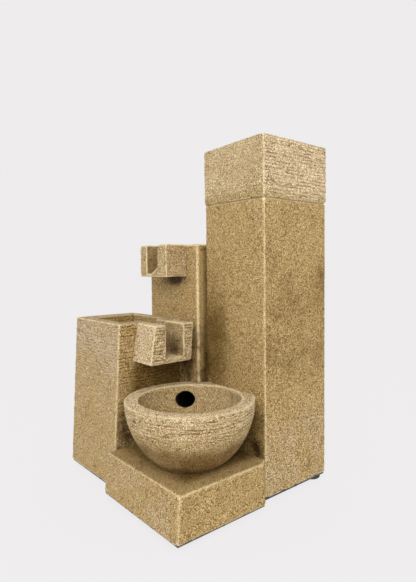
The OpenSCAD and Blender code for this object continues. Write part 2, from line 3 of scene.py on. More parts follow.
import bmesh
import bpy
import numpy as np
from mathutils import Matrix, Vector
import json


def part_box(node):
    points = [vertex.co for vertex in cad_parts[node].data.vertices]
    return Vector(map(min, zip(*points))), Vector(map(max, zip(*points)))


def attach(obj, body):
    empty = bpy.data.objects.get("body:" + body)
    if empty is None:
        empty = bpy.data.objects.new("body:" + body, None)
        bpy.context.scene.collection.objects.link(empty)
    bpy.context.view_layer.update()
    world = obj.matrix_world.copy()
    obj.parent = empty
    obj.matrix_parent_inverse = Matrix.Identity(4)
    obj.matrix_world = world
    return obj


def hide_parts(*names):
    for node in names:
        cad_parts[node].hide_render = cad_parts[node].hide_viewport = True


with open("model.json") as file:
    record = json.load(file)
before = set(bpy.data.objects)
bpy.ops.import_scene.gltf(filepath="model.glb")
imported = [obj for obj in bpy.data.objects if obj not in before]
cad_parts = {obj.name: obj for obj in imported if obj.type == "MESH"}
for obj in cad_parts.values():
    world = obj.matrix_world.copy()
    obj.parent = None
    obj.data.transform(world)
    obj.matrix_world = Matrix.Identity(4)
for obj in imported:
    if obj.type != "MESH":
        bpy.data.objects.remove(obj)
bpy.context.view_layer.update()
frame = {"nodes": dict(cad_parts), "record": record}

# The looks of a tabletop water fountain in cast stone. Every stone piece starts as a plain solid on
# its CAD node's box, is remeshed to an even skin, worn and chiselled by seeded noise, and then gets
# its clean bores and hollows. The screws are turned anew, with recesses and threads, and the other
# pieces are the CAD's own, most of them with rounded edges. Shapes are in millimetres of the plan
# frame, whose origin is the lowest corner of the tall column's box. Lights, the floor and textures
# are in metres.

MM = 0.001
BODY = "fountain"
PLAN = np.array(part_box("tall_column")[0])


def box_mm(node):
    """Lowest and highest corner of a CAD node in the plan frame, in millimetres."""
    low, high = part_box(node)
    return (np.array(low) - PLAN) / MM, (np.array(high) - PLAN) / MM


def middle_mm(node):
    """The middle of a CAD node's box."""
    low, high = box_mm(node)
    return (low + high) / 2


def to_world(points):
    return np.asarray(points, float) * MM + PLAN


def tone(red, green, blue):
    """A colour as seen on screen, 0 to 255, as linear light."""
    return tuple(((c / 255 + 0.055) / 1.055) ** 2.4 for c in (red, green, blue))


# ---------------------------------------------------------------- camera, floor and lights

LENS = 29.16
SENSOR = 36
EYE = (-307.5, -291.2, 214.1)
YAW, PITCH, ROLL = 50.27, -3.01, -0.667
BACKDROP = tone(238, 236, 237)
FLOOR_REACH = 8
LOOK_AT = (0, 0, 0.15)


def make_camera():
    yaw, pitch, roll = (math.radians(a) for a in (YAW, PITCH, ROLL))
    ahead = Vector((math.cos(yaw) * math.cos(pitch), math.sin(yaw) * math.cos(pitch), math.sin(pitch)))
    right = Vector((math.sin(yaw), -math.cos(yaw), 0))
    up = right.cross(ahead)
    side = math.cos(roll) * right + math.sin(roll) * up
    top = -math.sin(roll) * right + math.cos(roll) * up
    turn = Matrix((side, top, -ahead)).transposed().to_4x4()
    data = bpy.data.cameras.new("camera")
    data.lens = LENS
    data.sensor_width = SENSOR
    data.clip_start = 0.01
    camera = bpy.data.objects.new("camera", data)
    bpy.context.scene.collection.objects.link(camera)
    camera.matrix_world = Matrix.Translation(to_world(EYE)) @ turn
    bpy.context.scene.camera = camera


def area_light(name, place, size, power, tint):
    """A round soft light aimed at the middle of the fountain."""
    data = bpy.data.lights.new(name, "AREA")
    data.shape = "DISK"
    data.size = size
    data.energy = power
    data.color = tint
    light = bpy.data.objects.new(name, data)
    bpy.context.scene.collection.objects.link(light)
    light.location = place
    light.rotation_euler = (Vector(LOOK_AT) - Vector(place)).to_track_quat("-Z", "Y").to_euler()


def make_studio():
    scene = bpy.context.scene
    scene.view_settings.view_transform = "Standard"
    world = bpy.data.worlds.new("studio")
    scene.world = world
    world.use_nodes = True
    sky = world.node_tree.nodes["Background"]
    sky.inputs["Color"].default_value = (*BACKDROP, 1)
    sky.inputs["Strength"].default_value = 1
    area_light("key", place=(-1.15, -1.05, 0.95), size=0.8, power=14.5, tint=(1.0, 0.98, 0.95))
    area_light("fill", place=(0.5, -1.5, 0.6), size=1.2, power=2, tint=(1.0, 0.99, 0.97))
    mesh = bpy.data.meshes.new("floor")
    corners = [(-1, -1), (1, -1), (1, 1), (-1, 1)]
    mesh.from_pydata([(FLOOR_REACH * x, FLOOR_REACH * y, 0) for x, y in corners], [], [(0, 1, 2, 3)])
    floor = bpy.data.objects.new("floor", mesh)
    scene.collection.objects.link(floor)
    floor.data.materials.append(floor_material())


# ---------------------------------------------------------------- seeded noise on arrays of points


def lattice(ix, iy, iz, seed):
    """A number from 0 to 1 for each whole-numbered place, by an integer hash."""
    h = (ix * 374761393 + iy * 668265263 + iz * 1440662683 + seed * 974634777) & 0xFFFFFFFF
    h = ((h ^ (h >> 13)) * 1274126177) & 0xFFFFFFFF
    h = ((h ^ (h >> 16)) * 2246822519) & 0xFFFFFFFF
    return (h ^ (h >> 15)) / 0xFFFFFFFF


def noise(points, size, seed):
    """Smooth noise from 0 to 1. size is the grain in millimetres, one number or three."""
    q = points / np.asarray(size, float)
    cell = np.floor(q).astype(np.int64)
    f = q - cell
    f = f * f * (3 - 2 * f)
    total = np.zeros(len(points))
    for corner in np.ndindex(2, 2, 2):
        weight = np.ones(len(points))
        for axis in range(3):
            weight *= f[:, axis] if corner[axis] else 1 - f[:, axis]
        total += weight * lattice(*(cell[:, a] + corner[a] for a in range(3)), seed)
    return total


def layered(points, size, seed, octaves=3):
    """Noise summed over halving grain sizes, from 0 to 1."""
    size = np.asarray(size, float)
    total, weight, share = 0, 0, 1
    for i in range(octaves):
        total = total + share * noise(points, size / 2**i, seed + 17 * i)
        weight += share
        share *= 0.5
    return total / weight


def rise(x, low, high):
    """0 below low, 1 above high, smooth between."""
    t = np.clip((x - low) / (high - low), 0, 1)
    return t * t * (3 - 2 * t)


def fall(x, low, high):
    """1 below low, 0 above high, smooth between."""
    return rise(-x, -high, -low)


# ---------------------------------------------------------------- mesh building

ROD_SIDES = 48


def new_object(name, points, faces):
    mesh = bpy.data.meshes.new(name)
    mesh.from_pydata([tuple(p) for p in to_world(points)], [], faces)
    mesh.validate()
    obj = bpy.data.objects.new(name, mesh)
    bpy.context.scene.collection.objects.link(obj)
    turn_faces_out(obj)
    return obj


def turn_faces_out(obj):
    bm = bmesh.new()
    bm.from_mesh(obj.data)
    bmesh.ops.recalc_face_normals(bm, faces=bm.faces)
    bm.to_mesh(obj.data)
    bm.free()


def loft(name, low, high):
    """A closed solid between two outlines with as many points, each a list of (x, y, z)."""
    n = len(low)
    sides = [(i, (i + 1) % n, n + (i + 1) % n, n + i) for i in range(n)]
    ends = [tuple(range(n))[::-1], tuple(range(n, 2 * n))]
    return new_object(name, list(low) + list(high), sides + ends)


def block(name, low, high):
    x0, y0, z0 = low
    x1, y1, z1 = high
    ring = [(x0, y0), (x1, y0), (x1, y1), (x0, y1)]
    return loft(name, [(x, y, z0) for x, y in ring], [(x, y, z1) for x, y in ring])


def prism(name, outline, axis, start, end):
    """A solid with one cross-section, drawn out along x or y."""
    if axis == "x":
        return loft(name, [(start, u, v) for u, v in outline], [(end, u, v) for u, v in outline])
    return loft(name, [(u, start, v) for u, v in outline], [(u, end, v) for u, v in outline])


def rod(name, start, end, radius):
    """A cylinder between two points."""
    start, end = np.array(start, float), np.array(end, float)
    along = (end - start) / np.linalg.norm(end - start)
    across = np.cross(along, (0, 0, 1))
    across /= np.linalg.norm(across)
    third = np.cross(along, across)
    turns = [2 * math.pi * i / ROD_SIDES for i in range(ROD_SIDES)]
    ring = [radius * (math.cos(t) * across + math.sin(t) * third) for t in turns]
    return loft(name, [start + r for r in ring], [end + r for r in ring])


def turned(name, centre, profile, sides=160):
    """A closed solid turned about a vertical axis. profile goes from the axis out and back to it."""
    points, faces, rings = [], [], []
    for r, z in profile:
        if r < 1e-6:
            rings.append([len(points)])
            points.append((centre[0], centre[1], z))
            continue
        rings.append(list(range(len(points), len(points) + sides)))
        for i in range(sides):
            t = 2 * math.pi * i / sides
            points.append((centre[0] + r * math.cos(t), centre[1] + r * math.sin(t), z))
    for a, b in zip(rings, rings[1:]):
        for i in range(sides):
            j = (i + 1) % sides
            corners = [a[i % len(a)], a[j % len(a)], b[j % len(b)], b[i % len(b)]]
            face = tuple(dict.fromkeys(corners))
            if len(face) > 2:
                faces.append(face)
    return new_object(name, points, faces)


def bake(obj):
    """Applies the object's modifiers to its mesh."""
    bpy.context.view_layer.update()
    graph = bpy.context.evaluated_depsgraph_get()
    mesh = bpy.data.meshes.new_from_object(obj.evaluated_get(graph))
    old = obj.data
    obj.modifiers.clear()
    obj.data = mesh
    bpy.data.meshes.remove(old)


def cut(obj, *cutters):
    """Takes the cutters out of obj and removes them."""
    for cutter in cutters:
        step = obj.modifiers.new("cut", "BOOLEAN")
        step.operation = "DIFFERENCE"
        step.solver = "EXACT"
        step.object = cutter
        bake(obj)
        bpy.data.objects.remove(cutter)


def merge(obj, *others):
    """Joins the others into obj. They stay whole until a skin over them takes their union."""
    bm = bmesh.new()
    for each in (obj, *others):
        bm.from_mesh(each.data)
    bm.to_mesh(obj.data)
    bm.free()
    for other in others:
        bpy.data.objects.remove(other)
    return obj


def skin(obj, grain, rounds):
    """An even skin with faces of that size, its edges rounded by a few rounds of smoothing."""
    step = obj.modifiers.new("skin", "REMESH")
    step.mode = "VOXEL"
    step.voxel_size = grain * MM
    bake(obj)
    soften = obj.modifiers.new("soften", "SMOOTH")
    soften.factor = 0.5
    soften.iterations = rounds
    bake(obj)


def read_skin(obj):
    """The points in plan millimetres and the normals."""
    n = len(obj.data.vertices)
    points = np.empty(n * 3)
    normals = np.empty(n * 3)
    obj.data.vertices.foreach_get("co", points)
    obj.data.vertex_normals.foreach_get("vector", normals)
    return (points.reshape(-1, 3) - PLAN) / MM, normals.reshape(-1, 3)


def write_skin(obj, points, **marks):
    """Moves the points and keeps the marks, one number a point, for the stone's material to read."""
    obj.data.vertices.foreach_set("co", to_world(points).ravel())
    for name, values in marks.items():
        layer = obj.data.attributes.new(name, "FLOAT", "POINT")
        layer.data.foreach_set("value", np.clip(values, 0, 1).astype(np.float32))
    obj.data.update()


# ---------------------------------------------------------------- wearing and chiselling the stone, with painted shade and highlights

# In millimetres: the courses' pitch, the grain of the gentle waves and the depth of a pit. A whole
# cut is CUT_GAIN times as deep as the rough mask says.
COURSE_PITCH = 3.2
WAVE_GRAIN = 24
PIT_DEPTH = 0.35
CUT_GAIN = 1.2

# How far smoothing reaches when edges are looked for, in square millimetres.
SMOOTHING_AREA = 10


def bulge(obj, points, normals):
    """How far each point stands out of the smoothed skin: over 0 on edges and under 0 in corners."""
    ends = np.empty(len(obj.data.edges) * 2, np.int64)
    obj.data.edges.foreach_get("vertices", ends)
    a, b = ends.reshape(-1, 2).T
    n = len(points)
    degree = np.bincount(ends, minlength=n)[:, None]
    grain = np.linalg.norm(points[a] - points[b], axis=1).mean()
    smooth = points
    for _ in range(round(SMOOTHING_AREA / grain**2)):
        sums = [np.bincount(a, smooth[b, i], n) + np.bincount(b, smooth[a, i], n) for i in range(3)]
        smooth = 0.5 * smooth + 0.5 * np.stack(sums, axis=1) / degree
    return ((points - smooth) * normals).sum(axis=1)


def courses(points, seed):
    """Rough horizontal chisel courses: 1 on a crest and 0 in a cut."""
    shift = 2.6 * layered(points, (22, 22, 9), seed + 1, 2) + 0.9 * noise(points, (5, 5, 4), seed + 4)
    wave = 0.5 + 0.5 * np.sin(2 * math.pi * (points[:, 2] / COURSE_PITCH + shift))
    broken = rise(noise(points, (14, 14, 2.4), seed + 2), 0.2, 0.7)
    return 1 - (1 - wave) * broken


def nowhere(points, normals):
    """The mask of what a piece doesn't have."""
    return np.zeros(len(points))


def weather_and_shade(obj, seed, tint, rough=nowhere, wet=nowhere, chips=0.6, wave=0.35, edges=1.0):
    """Moves the skin inward: gentle waves, pits, worn and chipped edges, and rough courses.

    tint goes from 0 where the stone is pale to 1 where it is dark and olive, in places as painted shade,
    rough gives the depth of the courses in millimetres, and the wet mark a share from 0 to 1 of water
    stain and painted shadow. Each is a function of the points and the normals. Every noise adds its
    own number to the piece's seed."""
    points, normals = read_skin(obj)
    out = bulge(obj, points, normals)
    # edge marks the worn edges that the material paints cream: partly wear, partly painted highlight
    edge = rise(out, 0.14, 0.42)
    # corner darkens the tint in hollow corners: painted shade, with some dirt
    corner = rise(-out, 0.1, 0.45)
    chip = rise(layered(points, (4, 4, 3), seed + 60, 2), 0.5, 0.75)
    pit = rise(layered(points, 2.6, seed + 40, 2), 0.62, 0.78)
    amount = rough(points, normals)
    ridge = courses(points, seed + 80)
    depth = wave * layered(points, WAVE_GRAIN, seed, 2) + PIT_DEPTH * pit + chips * edge * chip
    depth += CUT_GAIN * amount * (1 - ridge)
    patches = layered(points, (30, 30, 40), seed + 5, 3) - 0.5
    write_skin(
        obj,
        points - normals * depth[:, None],
        # crest: pits and chisel cuts get painted shade, the crests a painted highlight
        crest=0.5 - 0.3 * pit + rise(amount, 0.0, 0.5) * 0.3 * (ridge - 0.72),
        edge=edges * edge * (1 - 0.5 * chip),
        tint=tint(points, normals) + 0.13 * patches + 0.3 * corner,
        wet=wet(points, normals),
        rough=amount,
    )


def finish_piece(obj, node, material):
    """Puts a new piece in a CAD node's place."""
    for polygon in obj.data.polygons:
        polygon.use_smooth = True
    obj.data.materials.clear()
    obj.data.materials.append(material)
    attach(obj, BODY)
    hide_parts(node)


# ---------------------------------------------------------------- materials


def material(name):
    mat = bpy.data.materials.new(name)
    mat.use_nodes = True
    return mat, Wiring(mat.node_tree)


class Wiring:
    """Short names for the nodes of one material."""

    def __init__(self, tree):
        self.tree = tree
        self.shader = tree.nodes["Principled BSDF"]
        self.where = tree.nodes.new("ShaderNodeTexCoord").outputs["Object"]

    def node(self, kind, **settings):
        made = self.tree.nodes.new(kind)
        for key, value in settings.items():
            setattr(made, key, value)
        return made

    def put(self, socket, value):
        if isinstance(value, bpy.types.NodeSocket):
            self.tree.links.new(value, socket)
        else:
            socket.default_value = value

    def noise(self, scale, detail=3, rough=0.55, stretch=None, distortion=0.0):
        made = self.node("ShaderNodeTexNoise")
        made.inputs["Scale"].default_value = scale
        made.inputs["Detail"].default_value = detail
        made.inputs["Roughness"].default_value = rough
        made.inputs["Distortion"].default_value = distortion
        self.put(made.inputs["Vector"], self.stretched(stretch))
        return made.outputs["Fac"]

    def bands(self, period, sway):
        """Level lines a period apart, swaying by radians: 0 in a cut and 1 on a crest."""
        made = self.node("ShaderNodeTexWave", bands_direction="Z")
        made.inputs["Scale"].default_value = math.pi / (10 * period)
        made.inputs["Distortion"].default_value = sway
        made.inputs["Detail"].default_value = 4
        made.inputs["Detail Scale"].default_value = 1.4
        made.inputs["Detail Roughness"].default_value = 0.62
        self.put(made.inputs["Vector"], self.stretched((0.3, 0.3, 1)))
        return made.outputs["Fac"]

    def cells(self, scale):
        made = self.node("ShaderNodeTexVoronoi", feature="F1")
        made.inputs["Scale"].default_value = scale
        self.put(made.inputs["Vector"], self.where)
        return made.outputs["Distance"]

    def stretched(self, stretch):
        if stretch is None:
            return self.where
        made = self.node("ShaderNodeMapping")
        made.inputs["Scale"].default_value = stretch
        self.put(made.inputs["Vector"], self.where)
        return made.outputs["Vector"]

    def mark(self, name):
        return self.node("ShaderNodeAttribute", attribute_name=name).outputs["Fac"]

    def spread(self, value, low, high, to_low=0.0, to_high=1.0):
        """Takes low to high over to to_low to to_high, smoothly, and holds the ends."""
        made = self.node("ShaderNodeMapRange", interpolation_type="SMOOTHSTEP")
        for socket, number in zip(made.inputs[1:5], (low, high, to_low, to_high)):
            socket.default_value = number
        self.put(made.inputs[0], value)
        return made.outputs[0]

    def math(self, operation, a, b):
        made = self.node("ShaderNodeMath", operation=operation)
        self.put(made.inputs[0], a)
        self.put(made.inputs[1], b)
        return made.outputs[0]

    def blend(self, share, a, b, mode="MIX"):
        made = self.node("ShaderNodeMix", data_type="RGBA", blend_type=mode)
        self.put(made.inputs["Factor"], share)
        for key, value in (("A", a), ("B", b)):
            socket = next(s for s in made.inputs if s.name == key and s.type == "RGBA")
            self.put(socket, value if isinstance(value, bpy.types.NodeSocket) else (*value, 1))
        return next(s for s in made.outputs if s.type == "RGBA")

    def stain(self, share, colour, by):
        """Multiplies the colour, each of its parts by its own number."""
        return self.blend(share, colour, by, "MULTIPLY")

    def bump(self, height, distance, strength=1.0, under=None):
        made = self.node("ShaderNodeBump")
        made.inputs["Strength"].default_value = strength
        made.inputs["Distance"].default_value = distance
        self.put(made.inputs["Height"], height)
        if under is not None:
            self.put(made.inputs["Normal"], under)
        return made.outputs["Normal"]

    def finish(self, colour, roughness, normal=None):
        self.put(self.shader.inputs["Base Color"], colour)
        self.put(self.shader.inputs["Roughness"], roughness)
        if normal is not None:
            self.put(self.shader.inputs["Normal"], normal)


def floor_material():
    mat, w = material("floor")
    w.shader.inputs["Emission Color"].default_value = (*BACKDROP, 1)
    w.shader.inputs["Emission Strength"].default_value = 0.915
    w.shader.inputs["Specular IOR Level"].default_value = 0
    w.finish(w.blend(w.noise(3), (0.079, 0.078, 0.0785), (0.082, 0.081, 0.0815)), 0.9)
    return mat


# The mark that paints the drain's bore black as painted shade, beyond any water stain, and the marks between
# which the stone goes black.
BORE_SHADE = 1.3
SHADE_FROM, SHADE_FULL = 1.0, 1.2


def stone_material(name, pale, body, deep):
    """Cast sandstone. The tint mark takes it from pale through body to deep. Sand grains lighten and
    darken it, pits and cuts go brown as painted shade, crests cream as painted highlight, worn edges
    cream as wear and painted highlight, and water stains and painted shadows nearly black."""
    mat, w = material(name)
    pale, body, deep = (tone(*shade) for shade in (pale, body, deep))
    tint = w.math("ADD", w.mark("tint"), w.spread(w.noise(45, 4, 0.6), 0.3, 0.7, -0.07, 0.07))
    colour = w.blend(w.spread(tint, 0.0, 0.5), pale, body)
    colour = w.blend(w.spread(tint, 0.5, 1.0), colour, deep)
    grain = w.noise(1500, 1, 0.6)
    sand = w.noise(750, 2, 0.7)
    colour = w.stain(w.spread(grain, 0.5, 0.33), colour, (0.22, 0.17, 0.08))
    colour = w.stain(w.spread(grain, 0.5, 0.68), colour, (1.75, 1.85, 2.2))
    colour = w.stain(w.spread(sand, 0.46, 0.3), colour, (0.5, 0.43, 0.3))
    colour = w.stain(w.spread(sand, 0.56, 0.7), colour, (1.2, 1.22, 1.3))
    colour = w.stain(w.spread(w.noise(950, 0), 0.62, 0.7, 0, 0.7), colour, (0.34, 0.27, 0.15))

    rough = w.spread(w.mark("rough"), 0, 0.4)
    lines = w.bands(0.0031, 4.5)
    dashes = w.spread(w.noise(1, 2, 0.6, (95, 95, 520)), 0.44, 0.62)
    cracks = w.spread(w.noise(1, 1, 0.5, (50, 50, 430), 0.5), 0.33, 0.25)
    cuts = w.math("MULTIPLY", w.spread(lines, 0.4, 0.05), dashes)
    cuts = w.math("MINIMUM", w.math("ADD", cuts, cracks), 1.0)
    ridges = w.spread(lines, 0.6, 0.95)
    # The chisel cuts and cracks get painted shade and the ridges a painted highlight.
    colour = w.stain(w.math("MULTIPLY", rough, cuts), colour, (0.53, 0.43, 0.27))
    colour = w.stain(w.math("MULTIPLY", rough, ridges), colour, (1.12, 1.13, 1.16))
    # Pits and cuts of the skin get painted shade and its crests a painted highlight.
    crest = w.mark("crest")
    colour = w.stain(w.spread(crest, 0.45, 0.05, 0, 0.85), colour, (0.40, 0.33, 0.22))
    colour = w.stain(w.spread(crest, 0.52, 0.68, 0, 0.5), colour, (1.3, 1.33, 1.4))

    # Worn edges go cream: partly wear, partly painted highlight.
    edge = w.math("MULTIPLY", w.mark("edge"), w.spread(grain, 0.35, 0.55, 0.4, 1.0))
    colour = w.blend(edge, colour, tone(238, 219, 174))
    # Water stains and painted shadows go nearly black and less rough.
    wet = w.math("ADD", w.mark("wet"), w.spread(w.noise(130, 3), 0.3, 0.7, -0.18, 0.18))
    wet = w.spread(wet, 0.15, 1.0)
    colour = w.stain(wet, colour, (0.15, 0.11, 0.07))
    # The drain's bore goes black: painted shade.
    colour = w.blend(w.spread(w.mark("wet"), SHADE_FROM, SHADE_FULL), colour, (0.003, 0.003, 0.002))
    normal = w.bump(w.math("MULTIPLY", w.math("SUBTRACT", 1.0, cuts), rough), 0.0008, 0.6)
    normal = w.bump(sand, 0.0008, 0.5, normal)
    normal = w.bump(grain, 0.0005, 0.5, normal)
    w.shader.inputs["Specular IOR Level"].default_value = 0.2
    w.finish(colour, w.spread(wet, 0, 1, 0.93, 0.6), normal)
    return mat


def plastic_material(name, colour, worn, roughness, specular):
    """Moulded plastic with worn patches and fine level scratches."""
    mat, w = material(name)
    shade = w.blend(w.spread(w.noise(25, 4), 0.35, 0.8, 0, 0.25), colour, worn)
    shade = w.blend(w.spread(w.noise(1, 3, 0.6, (900, 900, 160)), 0.66, 0.72, 0, 0.3), shade, worn)
    rough = w.spread(w.noise(150, 3), 0.3, 0.7, roughness - 0.07, roughness + 0.09)
    w.shader.inputs["Specular IOR Level"].default_value = specular
    w.finish(shade, rough, w.bump(w.noise(2200, 2), 0.00015, 0.4))
    return mat


def rubber_material():
    mat, w = material("rubber")
    shade = w.blend(w.spread(w.noise(90, 4), 0.35, 0.75), (0.018, 0.018, 0.018), (0.05, 0.048, 0.046))
    w.finish(shade, w.spread(w.noise(200, 2), 0.3, 0.7, 0.7, 0.9), w.bump(w.noise(1100, 2), 0.0003, 0.4))
    return mat


def steel_material(name, low, high, stretch):
    """Brushed steel. stretch draws the brushing out."""
    mat, w = material(name)
    brush = w.noise(260, 3, 0.6, stretch)
    w.shader.inputs["Metallic"].default_value = 1.0
    w.finish(w.blend(brush, low, high), w.spread(brush, 0.3, 0.7, 0.28, 0.5), w.bump(brush, 0.0001, 0.4))
    return mat


def vinyl_material():
    mat, w = material("clear_vinyl")
    w.shader.inputs["Transmission Weight"].default_value = 0.75
    w.shader.inputs["IOR"].default_value = 1.45
    shade = w.blend(w.noise(70, 3), (0.72, 0.78, 0.75), (0.86, 0.88, 0.85))
    w.finish(shade, w.spread(w.noise(90, 3), 0.3, 0.7, 0.1, 0.24), w.bump(w.noise(60, 1), 0.0004, 0.15))
    return mat


def copper_material():
    """Enamelled wire wound in level turns."""
    mat, w = material("copper_wire")
    turns = w.node("ShaderNodeTexWave", wave_type="BANDS", bands_direction="Z")
    turns.inputs["Scale"].default_value = 420
    turns.inputs["Distortion"].default_value = 0.6
    w.put(turns.inputs["Vector"], w.where)
    wires = turns.outputs["Fac"]
    w.shader.inputs["Metallic"].default_value = 0.85
    shade = w.blend(wires, (0.25, 0.07, 0.02), (0.72, 0.30, 0.12))
    w.finish(shade, w.spread(wires, 0, 1, 0.5, 0.28), w.bump(wires, 0.0003, 0.8))
    return mat


def ceramic_material(name, body, fleck):
    mat, w = material(name)
    shade = w.blend(w.spread(w.noise(700, 2), 0.55, 0.75, 0, 0.5), body, fleck)
    w.finish(shade, w.spread(w.noise(120, 3), 0.3, 0.7, 0.3, 0.45), w.bump(w.noise(900, 2), 0.0001, 0.3))
    return mat


def foam_material():
    mat, w = material("foam")
    holes = w.cells(900)
    shade = w.blend(w.spread(holes, 0.1, 0.6), (0.012, 0.013, 0.015), (0.10, 0.105, 0.115))
    w.finish(shade, 0.95, w.bump(holes, 0.001, 1.0))
    return mat


# Pale, body and deep colour of each stone, as seen on screen.
STONE_TONES = {
    "shaft_stone": ((188, 168, 134), (176, 149, 97), (112, 87, 41)),
    "pale_stone": ((204, 182, 142), (176, 152, 105), (118, 91, 46)),
}

# Fresh and worn colour, roughness and specular level of each plastic.
PLASTICS = {
    "black_plastic": ((0.014, 0.014, 0.016), (0.05, 0.05, 0.052), 0.42, 0.5),
    "dark_plastic": ((0.04, 0.04, 0.042), (0.09, 0.088, 0.085), 0.5, 0.5),
    # Near black and matt: painted shade in the drain.
    "fouled_plastic": ((0.003, 0.003, 0.003), (0.006, 0.005, 0.004), 0.85, 0.03),
}

# Dark and bright colour of each steel, and how its brushing is drawn out.
STEELS = {
    "screw_steel": ((0.45, 0.45, 0.43), (0.75, 0.75, 0.72), (1, 1, 6)),
    "core_steel": ((0.25, 0.25, 0.26), (0.55, 0.55, 0.55), (12, 1, 1)),
}

# Body and fleck colour of each ceramic.
CERAMICS = {
    "magnet_ceramic": ((0.10, 0.10, 0.11), (0.02, 0.02, 0.02)),
    "shaft_ceramic": ((0.86, 0.85, 0.81), (0.6, 0.58, 0.54)),
}


def all_materials():
    families = (
        (stone_material, STONE_TONES),
        (plastic_material, PLASTICS),
        (steel_material, STEELS),
        (ceramic_material, CERAMICS),
    )
    made = {name: make(name, *looks) for make, family in families for name, looks in family.items()}
    made["rubber"] = rubber_material()
    made["clear_vinyl"] = vinyl_material()
    made["copper_wire"] = copper_material()
    made["foam"] = foam_material()
    return made


# ---------------------------------------------------------------- shapes and masks of the stone pieces

CORNER_STEPS = 5

# The castings' wall, and how far a cutter runs past an open face.
WALL = 7.5
PAST = 5

# Half the width of both spouts' channels, where each channel lies, and how high the lower spout and
# the stone under its channel are.
CHANNEL_HALF = 10
UPPER_SPOUT_Y = 125.8
LOWER_SPOUT_X = -42.7
LOWER_SPOUT_H = 38
LOWER_SPOUT_BED = 5.5

# The drain's bore, its slope and turn in degrees, how far its cutter runs back and ahead from the
# sleeve's middle, and how far back the stone is black.
DRAIN_R = 7.9
DRAIN_DIP, DRAIN_TURN = 15, 27
DRAIN_BACK, DRAIN_AHEAD = 40, 22
DRAIN_MOUTH = 28

# Each side as the axis that it faces along, and the sign.
LEFT, RIGHT, FRONT, BACK, UNDER, TOP = (0, -1), (0, 1), (1, -1), (1, 1), (2, -1), (2, 1)


def facing(normals, side):
    """1 where the skin faces that side and 0 where it faces another."""
    axis, sign = side
    return rise(sign * normals[:, axis], 0.5, 0.85)


def spot(points, centre, radius):
    """1 at the centre and 0 beyond the radius, which is one number or three."""
    return rise(1 - np.linalg.norm((points - centre) / np.asarray(radius, float), axis=1), 0, 1)


def rounded(outline, radius):
    """A two-dimensional outline with its corners rounded. radius is one number or one for each corner."""
    outline = np.array(outline, float)
    radii = np.broadcast_to(radius, len(outline))
    points = []
    for i, corner in enumerate(outline):
        before, after = outline[i - 1] - corner, outline[(i + 1) % len(outline)] - corner
        before, after = before / np.linalg.norm(before), after / np.linalg.norm(after)
        reach = radii[i] / math.tan(math.acos(np.clip(before @ after, -1, 1)) / 2)
        for t in np.linspace(0, 1, CORNER_STEPS):
            points.append(corner + reach * ((1 - t) ** 2 * before + t**2 * after))
    return points


def pillar(name, low, high, radius, lean=0):
    """An upright block with rounded upright edges. lean moves its left side in by that much at the top."""
    foot = rounded([(low[0], low[1]), (high[0], low[1]), (high[0], high[1]), (low[0], high[1])], radius)
    left = low[0] + lean
    top = rounded([(left, low[1]), (high[0], low[1]), (high[0], high[1]), (left, high[1])], radius)
    return loft(name, [(x, y, low[2]) for x, y in foot], [(x, y, high[2]) for x, y in top])


def drain_axis():
    """A point on the drain's axis and its direction."""
    dip, turn = math.radians(DRAIN_DIP), math.radians(DRAIN_TURN)
    along = np.array((math.cos(dip) * math.cos(turn), math.cos(dip) * math.sin(turn), -math.sin(dip)))
    return middle_mm("drain_sleeve"), along


def drain_rod():
    """A cutter for the drain's bore through the walls of the bowl and the middle column."""
    middle, along = drain_axis()
    return rod("drain", middle - DRAIN_BACK * along, middle + DRAIN_AHEAD * along, DRAIN_R)


def paint_drain_shade(obj):
    """Paints the wall of the drain's bore and its mouth black as painted shade, a little wider than high."""
    points, _ = read_skin(obj)
    middle, along = drain_axis()
    level = np.cross(along, (0, 0, 1))
    level /= np.linalg.norm(level)
    away = points - middle
    reach = np.hypot(away @ level * 0.93, away @ np.cross(level, along))
    in_shade = (reach < DRAIN_R + 0.1) & (away @ along >= -DRAIN_MOUTH)
    wet = np.empty(len(points), np.float32)
    layer = obj.data.attributes["wet"].data
    layer.foreach_get("value", wet)
    layer.foreach_set("value", np.where(in_shade, BORE_SHADE, wet).astype(np.float32))


# ---------------------------------------------------------------- the stone pieces


def tall_column():
    low, high = box_mm("tall_column")

    def tint(points, normals):
        _, y, z = points.T
        belt = rise(z, 70, 130) * fall(z, 190, 250)
        joint = rise(y, 22, 70) * fall(z, 150, 212) * rise(z, 60, 96)
        # left darkens the face below the bowl's rim as painted shadow.
        left = 0.14 * belt * rise(y, 30, 75) + 0.34 * fall(z, 74, 94) + 0.3 * joint
        # A dark stain ring round a spot painted lighter as a sheen.
        smudge_and_sheen = spot(points, (60, 0, 17), (15, 9, 17)) - 1.6 * spot(points, (58, 0, 19), (5, 9, 8))
        front = 0.08 + 0.14 * belt - 0.2 * fall(z, 50, 120) + 0.5 * smudge_and_sheen
        return 0.46 + facing(normals, LEFT) * left + facing(normals, FRONT) * front

    def wet(points, normals):
        # behind_bowl is partly water stain and partly painted shade from the bowl.
        behind_bowl = 0.85 * spot(points, (0, 12, 45), (12, 15, 26))
        joint = 0.75 * spot(points, (0, 86, 112), (8, 16, 40))
        return facing(normals, LEFT) * (behind_bowl + joint)

    obj = pillar("stone_tall_column", low, high, 1.6)
    skin(obj, 1.2, 4)
    weather_and_shade(obj, 11, tint, wet=wet)
    cut(obj, block("hollow", (WALL, WALL, -PAST), (high[0] - WALL, high[1] - WALL, high[2] + PAST)))
    return obj


